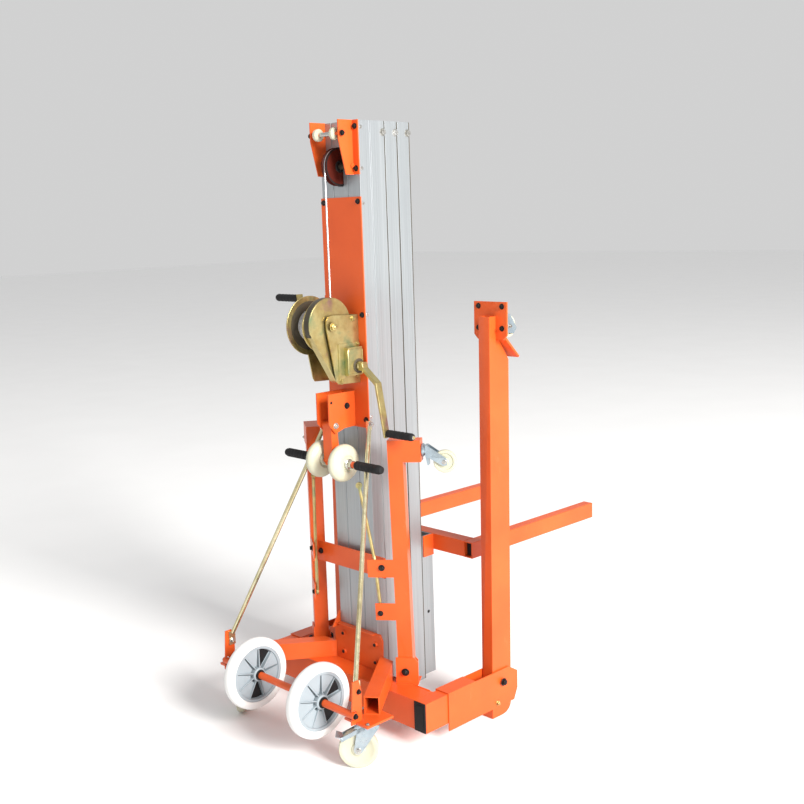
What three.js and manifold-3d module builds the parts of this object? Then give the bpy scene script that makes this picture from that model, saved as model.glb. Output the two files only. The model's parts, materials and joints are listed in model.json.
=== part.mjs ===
// Hand-winch material lift, folded for transport. Millimetres, +Z up, forks towards +Y.
import * as THREE from 'three';
import { mergeVertices, toCreasedNormals } from 'three/addons/utils/BufferGeometryUtils.js';
import Module from 'manifold-3d';

const wasm = await Module();
wasm.setup();
const { Manifold } = wasm;

// ---- driving dimensions (Y measured from the mast's back face, moved by ORIGIN_Y at the end)
const ORIGIN_Y = 264;
const GAP = 0.3;
const MAST_TOP = 2010;
const MAST_BOTTOM = 64;
const MAST_HALF = 94;
const MAST_PITCH = 57;
const MAST_FRONT = 115;
const CARRIAGE_TOP = 588;
const RAIL_X = 378;
const RAIL_W = 50;
const RAIL_Z0 = 65;
const RAIL_Z1 = 165;
const CROSS_Y0 = -86;
const CROSS_Y1 = -1;
const RAIL_FRONT = 150;
const LEG_W = 46;
const LEG_Y0 = 240;
const LEG_Y1 = 335;
const LEG_TOP = 1373;
const LEG_PIVOT = [283, 124];
const LEG_PLATE_Y = 272;
const LEG_LEAN = -0.9;
const ARM_DIR = [0.604, -0.797];
const ARM_END = [329, -251];
const ARM_Z0 = RAIL_Z1 + GAP;
const ARM_Z1 = ARM_Z0 + 60;
const PAD_Z0 = 159;
const AXLE = [-330, 191];
const AXLE_R = 12;
const BRACKET_X = 328;
const WHEEL_X = 164;
const WHEEL_R = 123;
const HUB_R = 96;
const DRUM = [-118, 1360];
const DRUM_R = 97;
const ROPE_LAYER = 52;
const ROPE_R = 3;
const PULLEY = [-10, 1868];
const PULLEY_R = 61;
const PULLEY_GROOVE = 56;
const ROLLER = [-54, 1969];
const CRANK = [-28, 1226];
const CRANK_THROW = 212;
const GRIP_X0 = 210;
const GRIP_LEN = 116;
const GRIP_R = 13;
const COVER_Z0 = 1014;
const COVER_Z1 = 1770;
const YOKE = [-93, 1029];
const YOKE_AXLE = [-88, 907];
const LOAD_R = 63;
const STAB_TURN = 35;
const STAB_C = [221, 14];
const STAB_LEAN = -1;
const STAB_W = 50;
const STAB_TOP = 990;
const STAB_PIVOT_Z = 206;
const STUB_Z0 = 918;
const ROD_EYE = [-76, 406];
const STUB_LEN = 84;
const FORK_X0 = 240;
const FORK_W = 40;
const FORK_Z0 = 532;
const FORK_Z1 = 589;
const FORK_Y0 = 287;
const FORK_TIP = 981;
const REAR_CASTER = [331, -266];
const REAR_R = 63;
const LEG_CASTER_R = 38;
const LEG_CASTER_H = 111;
const LEG_CASTER_Z = 1369;
const LEG_CASTER_TRAIL = 34;
const STAB_CASTER_R = 37.5;
const STAB_CASTER_H = 113;

// ---- colours
const ORANGE = { color: 0xe2571f, roughness: 0.42, metalness: 0.0 };
const ALUMINIUM = { color: 0xc8cccf, roughness: 0.35, metalness: 0.9 };
const GOLD = { color: 0xb59a4a, roughness: 0.35, metalness: 0.85 };
const ZINC = { color: 0x9fb0bb, roughness: 0.35, metalness: 0.85 };
const STEEL = { color: 0xb9bcbe, roughness: 0.4, metalness: 0.9 };
const BLACK = { color: 0x17181a, roughness: 0.7, metalness: 0.0 };
const WHITE = { color: 0xf1f1ee, roughness: 0.55, metalness: 0.0 };
const GREY = { color: 0x98a3a9, roughness: 0.5, metalness: 0.0 };
const CREAM = { color: 0xe6dfba, roughness: 0.45, metalness: 0.0 };
const MAROON = { color: 0x4a1410, roughness: 0.5, metalness: 0.0 };

// ---- solid helpers
const box = (x0, x1, y0, y1, z0, z1) => Manifold.cube([x1 - x0, y1 - y0, z1 - z0]).translate([x0, y0, z0]);
const prismZ = (pts, z0, z1) => Manifold.extrude([pts], z1 - z0).translate([0, 0, z0]);
const prismX = (pts, x0, x1) => Manifold.extrude([pts], x1 - x0).rotate([90, 0, 90]).translate([x0, 0, 0]);
const prismY = (pts, y0, y1) => Manifold.extrude([pts], y1 - y0).rotate([90, 0, 0]).translate([0, y1, 0]);
const cylZ = (r, x, y, z0, z1, n = 24) => Manifold.cylinder(z1 - z0, r, r, n).translate([x, y, z0]);
const cylX = (r, x0, x1, y, z, n = 24) => Manifold.cylinder(x1 - x0, r, r, n).rotate([0, 90, 0]).translate([x0, y, z]);
const cylY = (r, y0, y1, x, z, n = 24) => Manifold.cylinder(y1 - y0, r, r, n).rotate([-90, 0, 0]).translate([x, y0, z]);
const union = (list) => list.reduce((a, b) => a.add(b));
const mirrorX = (solid) => solid.mirror([1, 0, 0]);

// profile of [radius, height] points turned about Z, closed on the inside
function turned(profile, n = 32) {
  return Manifold.revolve([profile], n);
}

// wheel centred on the origin with its axle along X
function wheelX(profile, n) {
  return turned(profile, n).rotate([0, 90, 0]);
}

// straight round bar between two points
function bar(a, b, r, n = 12) {
  const d = [b[0] - a[0], b[1] - a[1], b[2] - a[2]];
  const len = Math.hypot(...d);
  const tilt = Math.acos(d[2] / len) * 180 / Math.PI;
  const turn = Math.atan2(d[1], d[0]) * 180 / Math.PI;
  return Manifold.cylinder(len, r, r, n).rotate([0, tilt, 0]).rotate([0, 0, turn]).translate(a);
}

function arcPoints(cx, cy, r, a0, a1, n) {
  const pts = [];
  for (let i = 0; i <= n; i += 1) {
    const a = a0 + (a1 - a0) * i / n;
    pts.push([cx + r * Math.cos(a), cy + r * Math.sin(a)]);
  }
  return pts;
}

// ---- mast
function baseColumn() {
  const h = MAST_HALF;
  const f = MAST_FRONT;
  const right = [
    [33, 0], [33, 2], [38, 2], [38, 0], [h, 0], [h, 32], [h - 3, 34], [h - 3, 50], [h, 52], [h, f],
    [52, f], [52, f - 6], [h - 6, f - 6], [h - 6, 58],
  ];
  const left = right.map(([x, y]) => [-x, y]).reverse();
  const shell = prismZ([...right, ...left], MAST_BOTTOM, MAST_TOP);
  const hollow = box(6 - h, h - 6, 5, 53, MAST_BOTTOM - 1, MAST_TOP + 1);
  const slot = box(-14, 14, -1, 6, 1805, 1931);
  return shell.subtract(hollow).subtract(slot);
}

// one sliding section: a back rail inside the channel in front of it, a neck and its own channel
function slidingOutline(front, half, closed) {
  const prev = front - MAST_PITCH;
  const right = [
    [85, prev - 49.5], [85, prev - 7.5], [49, prev - 7.5], [49, prev + 2], [half, prev + 2],
    [half, front],
  ];
  const lip = closed ? [] : [[52, front], [52, front - 6], [half - 5, front - 6], [half - 5, front - 51]];
  const side = [...right, ...lip];
  const left = side.map(([x, y]) => [-x, y]).reverse();
  return [...side, ...left];
}

function slidingSection(front, z0, z1) {
  const prev = front - MAST_PITCH;
  const solid = prismZ(slidingOutline(front, MAST_HALF - 1, false), z0, z1);
  return solid.subtract(box(-80, 80, prev - 45, prev - 12, z0 - 1, z1 + 1));
}

function carriageColumn() {
  const front = MAST_FRONT + 3 * MAST_PITCH;
  const prev = front - MAST_PITCH;
  const z0 = 76;
  const solid = prismZ(slidingOutline(front, 88, true), z0, CARRIAGE_TOP);
  const back = box(-80, 80, prev - 45, prev - 12, z0 - 1, CARRIAGE_TOP + 1);
  const wide = box(-83, 83, prev + 7, front - 5, z0 - 1, CARRIAGE_TOP + 1);
  return solid.subtract(back).subtract(wide);
}

function pulleyBracket() {
  const ear = prismX([[-64, 2011], [-64, 1950], [-37, 1840], [-GAP, 1840], [-GAP, 2011]], 66, 70);
  const flange = box(69, 95, -4.3, -GAP, 1840, 2011);
  const side = ear.add(flange);
  const pin = cylX(8, -74, 74, PULLEY[0], PULLEY[1], 16);
  const axle = cylX(6, -76, 76, ROLLER[0], ROLLER[1], 16);
  return union([side, mirrorX(side), pin, axle]);
}

function ropePulley() {
  const r = PULLEY_R;
  const g = PULLEY_GROOVE - ROPE_R - GAP;
  const profile = [[8.3, -11], [r, -11], [r, -6.5], [g, -2.5], [g, 2.5], [r, 6.5], [r, 11], [8.3, 11]];
  return wheelX(profile, 32).translate([0, PULLEY[0], PULLEY[1]]);
}

function topRoller() {
  const profile = [[6.3, -9], [16, -9], [20, -5], [20, 5], [16, 9], [6.3, 9]];
  return wheelX(profile, 20).translate([40, ROLLER[0], ROLLER[1]]);
}

function coverPlate() {
  return box(-97, 97, -4.3, -GAP, COVER_Z0, COVER_Z1);
}

function hoistRope() {
  const ring = arcPoints(PULLEY_GROOVE, 0, ROPE_R, 0, 1.75 * Math.PI, 7);
  const over = Manifold.revolve([ring], 64, 180).rotate([90, 0, 90]);
  const back = cylZ(ROPE_R, 0, PULLEY[0] - PULLEY_GROOVE, DRUM[1], PULLEY[1] + 0.5, 8);
  const front = cylZ(ROPE_R, 0, PULLEY[0] + PULLEY_GROOVE, 300, PULLEY[1] + 0.5, 8);
  return union([over.translate([0, PULLEY[0], PULLEY[1]]), back, front]);
}

// ---- winch
function sidePlate(x0, x1) {
  const [cy, cz] = CRANK;
  const outline = [
    [-118, 1396], [-132, 1392], [-141, 1380], [-141, 1352], [-107, 1182], [-100, 1171],
    [-GAP - 4.3, 1166], [-GAP - 4.3, 1391],
  ];
  return prismX(outline, x0, x1).subtract(cylX(8.4, x0 - 1, x1 + 1, cy, cz, 20));
}

function winchFrame() {
  const web = box(-60, 63, -10, -4.6, 1171, 1391);
  const shaft = cylX(9, -66, 70, DRUM[0], DRUM[1], 20);
  const flange = box(62.5, 66, -97, -9, 1186, 1302);
  const raised = box(65, 84, -74, -11, 1196, 1288).subtract(box(60, 80, -70, -15, 1180, 1284));
  const guard = flange.subtract(box(60, 80, -70, -15, 1180, 1284)).add(raised);
  const guardHole = cylX(8.4, 60, 90, CRANK[0], CRANK[1], 20);
  const frame = union([sidePlate(-60, -56), sidePlate(58, 63), web, shaft, guard]);
  return frame.subtract(guardHole);
}

function teardrop(grow) {
  const big = arcPoints(-115, 1366, 86 + grow, -0.3, Math.PI + 0.28, 20);
  const small = arcPoints(-84, 1192, 20 + grow, Math.PI + 0.28, 2 * Math.PI - 0.35, 8);
  return [...big, ...small];
}

function gearCover() {
  const shell = prismX(teardrop(0), 19, 50).subtract(prismX(teardrop(-3), 18, 47));
  return shell.subtract(cylX(9.5, 18, 58, DRUM[0], DRUM[1], 20));
}

function winchDrum() {
  const core = ROPE_LAYER - ROPE_R - GAP;
  const profile = [
    [9.4, -54], [24, -54], [24, -51], [DRUM_R, -51], [DRUM_R, -47], [core, -47],
    [core, 14], [DRUM_R - 12, 14], [DRUM_R - 12, 18], [24, 18], [24, 46.5], [9.4, 46.5],
  ];
  return wheelX(profile, 40).translate([0, DRUM[0], DRUM[1]]);
}

// crank arm: a flat bar bent outwards, with a cranked pin for the grip
function crankArm() {
  const [y, z] = CRANK;
  const t = 6;
  const tip = z - CRANK_THROW;
  const outline = [
    [90, z - 13], [112, z - 15], [168, z - 58], [203, tip - 14], [203 + t, tip - 14],
    [170 + t, z - 50], [116, z - 5], [112, z + 13], [90, z + 13],
  ];
  const arm = prismY(outline, y - 12, y + 12);
  const pin = cylX(5, 203, GRIP_X0 + GRIP_LEN + 5, y, tip, 12);
  return arm.add(pin);
}

function crankGrip() {
  const z = CRANK[1] - CRANK_THROW;
  const profile = [[5.3, 0], [11, 0], [GRIP_R, 8], [GRIP_R, 100], [11, GRIP_LEN], [5.3, GRIP_LEN]];
  return turned(profile, 16).rotate([0, 90, 0]).translate([GRIP_X0, CRANK[0], z]);
}

// the far side's arm and grip stand opposite the near ones
function farSide(solid) {
  const z = CRANK[1];
  return solid.mirror([1, 0, 0]).translate([0, 0, -z]).mirror([0, 0, 1]).translate([0, 0, z]);
}

function crank() {
  const shaft = cylX(8, -95, 95, CRANK[0], CRANK[1], 20);
  return union([shaft, crankArm(), farSide(crankArm())]);
}

// ---- loading wheels
function loadingBracket() {
  const y1 = -4.6;
  const outline = [[-120, 1136], [-121, 1035], [-94, 1003], [-57, 1016], [y1, 1018], [y1, 1136]];
  const wall = prismX(outline, 27, 32);
  const web = box(-32, 32, -9.6, y1, 1018, 1136);
  return union([wall, mirrorX(wall), web]);
}

function loadingYoke() {
  const [py, pz] = YOKE;
  const [ay, az] = YOKE_AXLE;
  const barrel = cylX(13, -26.7, 26.7, py, pz, 20);
  const outline = [
    [py - 13, pz], [ay - 17, az], [ay - 10, az - 15], [ay + 10, az - 15], [ay + 17, az], [py + 13, pz],
  ];
  const arm = prismX(outline, -22, 22);
  const axle = cylX(10, -237, 237, ay, az, 16);
  return union([barrel, arm, axle]);
}

function loadingWheel() {
  const r = LOAD_R;
  const profile = [
    [10.3, -23], [28, -23], [r - 12, -19], [r - 3, -11], [r, 0], [r - 3, 11], [r - 12, 19], [28, 23], [10.3, 23],
  ];
  return wheelX(profile, 28).translate([56, YOKE_AXLE[0], YOKE_AXLE[1]]);
}

function loadingGrip() {
  const profile = [[10.3, 0], [14, 0], [15, 6], [15, 108], [13, 117], [10.3, 117]];
  return turned(profile, 16).rotate([0, 90, 0]).translate([119, YOKE_AXLE[0], YOKE_AXLE[1]]);
}

// ---- base
function crossTube() {
  const outer = box(-352.7, 352.7, CROSS_Y0, CROSS_Y1, RAIL_Z0, RAIL_Z1);
  const inner = box(-360, 360, CROSS_Y0 + 5, CROSS_Y1 - 5, RAIL_Z0 + 5, RAIL_Z1 - 5);
  const socket = stabilizerSocket();
  return union([outer.subtract(inner), socket, mirrorX(socket)]);
}

function sideRail() {
  const h = RAIL_W / 2;
  const outer = box(RAIL_X - h, RAIL_X + h, CROSS_Y0, RAIL_FRONT, RAIL_Z0, RAIL_Z1);
  const inner = box(RAIL_X - h + 4, RAIL_X + h - 4, CROSS_Y0 - 1, RAIL_FRONT + 1, RAIL_Z0 + 4, RAIL_Z1 - 4);
  return outer.subtract(inner);
}

function legBracket() {
  const outline = [[16, 39], [16, 167], [318, 167], [363, 140], [363, 78], [345, 39]];
  const inner = RAIL_W / 2 + GAP;
  const far = prismX(outline.slice().reverse(), RAIL_X - inner - 4, RAIL_X - inner);
  const near = prismX(outline.slice().reverse(), RAIL_X + inner, RAIL_X + inner + 4);
  const web = box(RAIL_X - inner - 4, RAIL_X + inner + 4, 16, RAIL_FRONT - 2, RAIL_Z1 + GAP, 169);
  const pin = cylX(8, RAIL_X - 36, RAIL_X + 36, LEG_PIVOT[0], LEG_PIVOT[1], 16);
  return union([far, near, web, pin]);
}

// place a solid built with X along the stabilizer's swing, Y across it
function atStabilizer(solid) {
  return solid.rotate([0, 0, STAB_TURN]).translate([STAB_C[0], STAB_C[1], 0]);
}

// the same for its moving pieces, which stand a little inwards of upright
function onStabilizer(solid) {
  const z = STAB_PIVOT_Z;
  return atStabilizer(solid.translate([0, 0, -z]).rotate([0, STAB_LEAN, 0]).translate([0, 0, z]));
}

function stabilizerSocket() {
  const h = STAB_W / 2 + GAP;
  const top = RAIL_Z1;
  const near = prismY([[-33, top], [43, top], [43, 240], [30, 254], [-33, 254]], -h - 5, -h);
  const far = prismY([[-33, top], [33, top], [33, 226], [22, 238], [-33, 238]], h, h + 5);
  const foot = box(-33, 43, -h - 16, h + 5, top - 1, top + 2);
  const pin = cylY(8, -h - 9, h + 9, 0, STAB_PIVOT_Z, 16);
  const below = box(-33, 43, -h - 16, h + 5, top - 6, top);
  return atStabilizer(union([near, far, foot, pin])).subtract(atStabilizer(below));
}

function rearArm() {
  const [dx, dy] = ARM_DIR;
  const w = 25;
  const [ex, ey] = ARM_END;
  const start = [ex - dx * 330, ey - dy * 330];
  const n = [-dy, dx];
  const quad = (half, a, b) => [
    [a[0] - n[0] * half, a[1] - n[1] * half], [b[0] - n[0] * half, b[1] - n[1] * half],
    [b[0] + n[0] * half, b[1] + n[1] * half], [a[0] + n[0] * half, a[1] + n[1] * half],
  ];
  const outer = prismZ(quad(w, start, ARM_END), ARM_Z0, ARM_Z1);
  const beyond = [ex + dx * 5, ey + dy * 5];
  const before = [start[0] - dx * 5, start[1] - dy * 5];
  const inner = prismZ(quad(w - 4, before, beyond), ARM_Z0 + 4, ARM_Z1 - 4);
  const clear = atStabilizer(box(-37, 60, -60, 60, 150, 300));
  const tube = outer.subtract(inner).subtract(box(0, 400, -7, 200, 100, 300)).subtract(clear);
  const pad = box(278, 384, -322, -210, PAD_Z0, ARM_Z0 + 1);
  const side = [[-340, PAD_Z0 + 2], [-296, PAD_Z0 + 2], [-294, 262], [-304, 298], [-330, 298]];
  const post = prismX(side, BRACKET_X, BRACKET_X + 5);
  const hole = cylX(AXLE_R + 2, BRACKET_X - 1, BRACKET_X + 6, AXLE[0], AXLE[1], 16);
  return union([tube, pad, post.subtract(hole)]);
}

function hubPlate() {
  const plate = prismY([[-121, 165.3], [121, 165.3], [124, 280], [112, 300], [-121, 300]], -6.3, -GAP);
  const lip = box(-100, 92, -22, -GAP, 296, 300);
  const gusset = prismX([[-38, 286], [-GAP, 286], [-GAP, 342]], -100, -95);
  const heads = [[-72, 263], [-72, 196], [91, 261], [91, 198]].map(([x, z]) => cylY(9, -13, -6, x, z, 6));
  return union([plate, lip, gusset, ...heads]);
}

function storageBar() {
  const strip = box(-170, 170, -26, -20, 517, 587);
  const standoff = box(40, 70, -21, -GAP, 530, 575);
  return union([strip, standoff, mirrorX(standoff)]);
}

function braceRod() {
  const top = [104, -10, 1030];
  const foot = [320, -306, 288];
  const rod = bar(top, foot, 8, 12);
  const upper = box(97.4, 111, -19, -5, 1012, 1042);
  const lower = box(322, 327.7, -320, -294, 246, 294);
  return union([rod, upper, lower]);
}

function transportAxle() {
  return cylX(AXLE_R, -BRACKET_X - 12, BRACKET_X + 12, AXLE[0], AXLE[1], 20);
}

function transportTyre() {
  const r = WHEEL_R;
  const b = HUB_R + GAP;
  const profile = [[b, -17], [r - 9, -19], [r - 2, -12], [r, -5], [r, 5], [r - 2, 12], [r - 9, 19], [b, 17]];
  return wheelX(profile, 48).translate([WHEEL_X, AXLE[0], AXLE[1]]);
}

function transportHub() {
  const b = AXLE_R + GAP;
  const profile = [
    [b, -24], [24, -24], [24, -9], [80, -9], [82, -16], [HUB_R, -16], [HUB_R, 16],
    [82, 16], [80, 9], [24, 9], [24, 24], [b, 24],
  ];
  return wheelX(profile, 32).translate([WHEEL_X, AXLE[0], AXLE[1]]);
}

// ---- folding legs
function lean(solid) {
  const [py, pz] = LEG_PIVOT;
  return solid.translate([0, -py, -pz]).rotate([LEG_LEAN, 0, 0]).translate([0, py, pz]);
}

function leg() {
  const [py, pz] = LEG_PIVOT;
  const plateY = LEG_PLATE_Y;
  const h = LEG_W / 2;
  const outline = [
    [LEG_Y0, 0], [py + 4, 0], [py + 18, 1.5], [py + 30, 5], [py + 42, 13], [py + 49, 22], [LEG_Y1, 32],
    [LEG_Y1, 1227], [plateY, 1319], [plateY, LEG_TOP], [LEG_Y0, LEG_TOP],
  ];
  const inside = [
    [LEG_Y0 + 3, -5], [LEG_Y1 - 3, -5], [LEG_Y1 - 3, 1226], [plateY - 3, 1317],
    [plateY - 3, LEG_TOP + 5], [LEG_Y0 + 3, LEG_TOP + 5],
  ];
  const body = prismX(outline, RAIL_X - h, RAIL_X + h);
  const bore = prismX(inside, RAIL_X - h + 3, RAIL_X + h - 3);
  const face = [[-70, 1420], [-70, 1312], [-54, 1296], [54, 1296], [70, 1312], [70, 1420]];
  const pad = prismY(face, plateY - 0.5, plateY + 5).translate([RAIL_X, 0, 0]);
  const bend = [[plateY, 1316], [plateY, 1309], [350, 1234], [354, 1239], [plateY + 5, 1316]];
  const flap = prismX(bend, RAIL_X - h, RAIL_X + 54);
  const pivot = cylX(8.4, RAIL_X - 40, RAIL_X + 40, py, pz, 16);
  const upright = union([body.subtract(bore), pad, flap]).subtract(pivot);
  return lean(upright).intersect(box(0, 600, 0, 900, 0, 1600));
}

// caster fork built with its swivel axis along -Z from the origin, wheel trailing towards -X
function forkCheek(total, r, trail, plate, wide) {
  const axle = total - r;
  if (wide) {
    return [
      [-trail - 8, 2 - total], [6, -axle - 2], [plate, -20], [-plate - 4, -20],
      [-trail - 22, -axle + 10], [-trail - 25, -axle - 20],
    ];
  }
  return [
    [-trail - 11, -axle - 8], [-trail + 11, -axle - 8], [plate, -20], [-plate - 4, -20],
    [-trail - 13, -axle + 6],
  ];
}

function casterFork(total, r, width, trail, plate, wide) {
  const axle = total - r;
  const h = width / 2 + 1.2;
  const neck = cylZ(plate, 0, 0, -16, -GAP, 20);
  const nearNeck = box(-plate, plate, -h - 3, h + 3, -22, -14);
  const nearWheel = box(-trail - 10, -trail + 10, -h - 3, h + 3, -24, -20);
  const crown = Manifold.hull([nearNeck, nearWheel]);
  const outline = forkCheek(total, r, trail, plate, wide);
  const legs = [[-h - 3, -h], [h, h + 3]].map(([a, b]) => prismY(outline, a, b));
  const pin = cylY(5, -h - 8, h + 8, -trail, -axle, 12);
  const fork = union([neck, crown, ...legs, pin]);
  return fork.subtract(cylY(r + 2, -h, h, -trail, -axle, 32)).add(pin);
}

function casterWheel(total, r, width, trail) {
  const w = width / 2;
  const right = [[r, 0], [r - 2, w - 5], [r - 7, w - 3], [r * 0.5, w - 3], [r * 0.45, w], [5.3, w]];
  const left = right.slice(1).map(([a, b]) => [a, -b]).reverse();
  const place = [-trail, 0, r - total];
  return turned([...left, ...right], 28).rotate([90, 0, 0]).translate(place);
}

// the three caster places, each from the caster's own frame
const atRear = (solid) => solid.rotate([0, 0, 45]).translate([REAR_CASTER[0], REAR_CASTER[1], PAD_Z0]);
const atLegTop = (solid) => lean(solid.rotate([90, -90, 0]).translate([RAIL_X, LEG_PLATE_Y + 5, LEG_CASTER_Z]));
function atStub(solid) {
  const turnedOut = solid.rotate([0, -90, 0]);
  return onStabilizer(turnedOut.translate([STUB_LEN, 0, 954]));
}

// ---- stabilizers
function stabilizer() {
  const h = STAB_W / 2;
  const [rx, rz] = ROD_EYE;
  const tube = box(-h, h, -h, h, 182, STAB_TOP);
  const bore = box(3 - h, h - 3, 3 - h, h - 3, 170, STUB_Z0);
  const stub = box(-h, STUB_LEN, -h, h, STUB_Z0, STAB_TOP);
  const pocket = box(h + 4, STUB_LEN - 5, 3 - h, h - 3, STUB_Z0 - 1, STAB_TOP - 4);
  const ear = box(-93, -h + 1, -h, 4 - h, 382, 440);
  const clip = box(-112, -h + 1, -h, 4 - h, 530, 590);
  const pivot = cylY(8.4, -40, 40, 0, STAB_PIVOT_Z, 16);
  const rodPin = cylY(4, 3 - h, 20 - h, rx, rz, 12);
  const hollow = union([tube, stub]).subtract(bore).subtract(pocket);
  return onStabilizer(union([hollow, ear, clip]).subtract(pivot).add(rodPin));
}

function stabilizerRod() {
  const y = 10.5 - STAB_W / 2;
  const [rx, rz] = ROD_EYE;
  const eye = cylY(12, y - 4, y + 4, rx, rz, 16);
  const hole = cylY(4.3, y - 9, y + 9, rx, rz, 12);
  const lower = bar([rx, y, rz + 7], [-90, y, 600], 5.5, 10);
  const upper = bar([-90, y, 598], [-126, y, 832], 5.5, 10);
  const tip = cylY(11, y - 4, y + 4, -127, 840, 16);
  return onStabilizer(union([eye, lower, upper, tip]).subtract(hole));
}

// ---- forks
function forkCrossbar() {
  const inner = FORK_X0 - GAP;
  const tube = box(-inner, inner, FORK_Y0, FORK_Y0 + 50, FORK_Z0, FORK_Z1);
  const bore = box(-inner - 1, inner + 1, FORK_Y0 + 4, FORK_Y0 + 46, FORK_Z0 + 4, FORK_Z1 - 4);
  const cheek = box(88.3, 93, 238, FORK_Y0 + 1, 512, FORK_Z1);
  return union([tube.subtract(bore), cheek, mirrorX(cheek)]);
}

function forkTube() {
  const x1 = FORK_X0 + FORK_W;
  const outer = box(FORK_X0, x1, FORK_Y0 - 2, FORK_TIP, FORK_Z0, FORK_Z1);
  const inner = box(FORK_X0 + 4, x1 - 4, FORK_Y0 - 3, FORK_TIP - 4, FORK_Z0 + 4, FORK_Z1 - 4);
  return outer.subtract(inner);
}

// ---- meshes
function solidGeometry(solid) {
  const mesh = solid.getMesh();
  const geometry = new THREE.BufferGeometry();
  geometry.setAttribute('position', new THREE.BufferAttribute(new Float32Array(mesh.vertProperties), 3));
  geometry.setIndex(new THREE.BufferAttribute(new Uint32Array(mesh.triVerts), 1));
  return toCreasedNormals(mergeVertices(geometry), 0.6);
}

const root = new THREE.Group();
root.name = 'material_lift';

function add(name, shape, look) {
  const geometry = shape.isBufferGeometry ? shape : solidGeometry(shape);
  geometry.translate(0, -ORIGIN_Y, 0);
  const material = new THREE.MeshStandardMaterial(look);
  const mesh = new THREE.Mesh(geometry, material);
  mesh.name = name;
  root.add(mesh);
}

function addPair(name, solid, look) {
  add(`${name}_right`, solid, look);
  add(`${name}_left`, mirrorX(solid), look);
}

add('cross_tube', crossTube(), ORANGE);
addPair('side_rail', sideRail(), ORANGE);
addPair('leg_bracket', legBracket(), ORANGE);
addPair('rear_arm', rearArm(), ORANGE);
add('hub_plate', hubPlate(), ORANGE);
add('storage_bar', storageBar(), ORANGE);
add('transport_axle', transportAxle(), ORANGE);
addPair('brace_rod', braceRod(), GOLD);
add('base_column', baseColumn(), ALUMINIUM);
add('mast_section_2', slidingSection(MAST_FRONT + MAST_PITCH, MAST_BOTTOM, MAST_TOP), ALUMINIUM);
add('mast_section_3', slidingSection(MAST_FRONT + 2 * MAST_PITCH, MAST_BOTTOM, MAST_TOP), ALUMINIUM);
add('carriage_column', carriageColumn(), ALUMINIUM);
add('fork_crossbar', forkCrossbar(), ORANGE);
addPair('fork', forkTube(), ORANGE);
add('cover_plate', coverPlate(), ORANGE);
add('pulley_bracket', pulleyBracket(), ORANGE);
add('rope_pulley', ropePulley(), MAROON);
addPair('top_roller', topRoller(), CREAM);
add('hoist_rope', hoistRope(), STEEL);
add('winch_frame', winchFrame(), GOLD);
add('winch_gear_cover', gearCover(), GOLD);
add('winch_drum', winchDrum(), GOLD);
add('crank', crank(), GOLD);
add('crank_grip_right', crankGrip(), BLACK);
add('crank_grip_left', farSide(crankGrip()), BLACK);
add('loading_bracket', loadingBracket(), ORANGE);
add('loading_yoke', loadingYoke(), ORANGE);
addPair('loading_wheel', loadingWheel(), CREAM);
addPair('loading_grip', loadingGrip(), BLACK);
addPair('transport_tyre', transportTyre(), WHITE);
addPair('transport_hub', transportHub(), GREY);
addPair('leg', leg(), ORANGE);
addPair('leg_caster_fork', atLegTop(casterFork(LEG_CASTER_H, LEG_CASTER_R, 26, LEG_CASTER_TRAIL, 24, true)), ZINC);
addPair('leg_caster_wheel', atLegTop(casterWheel(LEG_CASTER_H, LEG_CASTER_R, 26, LEG_CASTER_TRAIL)), CREAM);
addPair('stabilizer', stabilizer(), ORANGE);
addPair('stabilizer_rod', stabilizerRod(), GOLD);
addPair('stabilizer_caster_fork', atStub(casterFork(STAB_CASTER_H, STAB_CASTER_R, 24, 38, 17, false)), ZINC);
addPair('stabilizer_caster_wheel', atStub(casterWheel(STAB_CASTER_H, STAB_CASTER_R, 24, 38)), CREAM);
addPair('rear_caster_fork', atRear(casterFork(PAD_Z0, REAR_R, 32, 36, 32, false)), ZINC);
addPair('rear_caster_wheel', atRear(casterWheel(PAD_Z0, REAR_R, 32, 36)), CREAM);

export default root;
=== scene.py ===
"""Looks for the folded hand-winch material lift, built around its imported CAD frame."""

import json
import math
import random

import bmesh
import bpy
from mathutils import Matrix, Vector


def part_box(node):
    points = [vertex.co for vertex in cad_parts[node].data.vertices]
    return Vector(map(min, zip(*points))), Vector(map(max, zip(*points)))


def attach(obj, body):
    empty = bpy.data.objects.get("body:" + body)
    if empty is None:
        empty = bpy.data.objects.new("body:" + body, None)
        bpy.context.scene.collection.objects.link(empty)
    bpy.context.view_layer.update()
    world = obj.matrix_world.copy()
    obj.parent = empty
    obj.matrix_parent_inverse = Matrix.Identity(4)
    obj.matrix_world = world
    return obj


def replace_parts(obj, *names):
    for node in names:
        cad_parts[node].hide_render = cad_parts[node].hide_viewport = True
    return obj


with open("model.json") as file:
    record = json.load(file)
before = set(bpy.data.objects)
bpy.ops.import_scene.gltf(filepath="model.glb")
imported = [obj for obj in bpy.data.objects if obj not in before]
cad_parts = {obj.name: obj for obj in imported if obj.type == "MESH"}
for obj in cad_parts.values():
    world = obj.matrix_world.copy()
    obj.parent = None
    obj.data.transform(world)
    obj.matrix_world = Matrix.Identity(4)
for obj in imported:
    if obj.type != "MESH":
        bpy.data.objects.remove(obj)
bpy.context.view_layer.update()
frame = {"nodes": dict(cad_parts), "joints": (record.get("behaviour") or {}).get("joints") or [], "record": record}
nodes = frame["nodes"]
random.seed(7)

MM = 0.001
X, Y, Z = Vector((1, 0, 0)), Vector((0, 1, 0)), Vector((0, 0, 1))
SIDES = (("right", 1), ("left", -1))

# Sizes in millimetres that CAD boxes don't give: distances from the middle unless they say otherwise.
HUB_BOSS_R = 23.7
HUB_RIBS = 9
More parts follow.
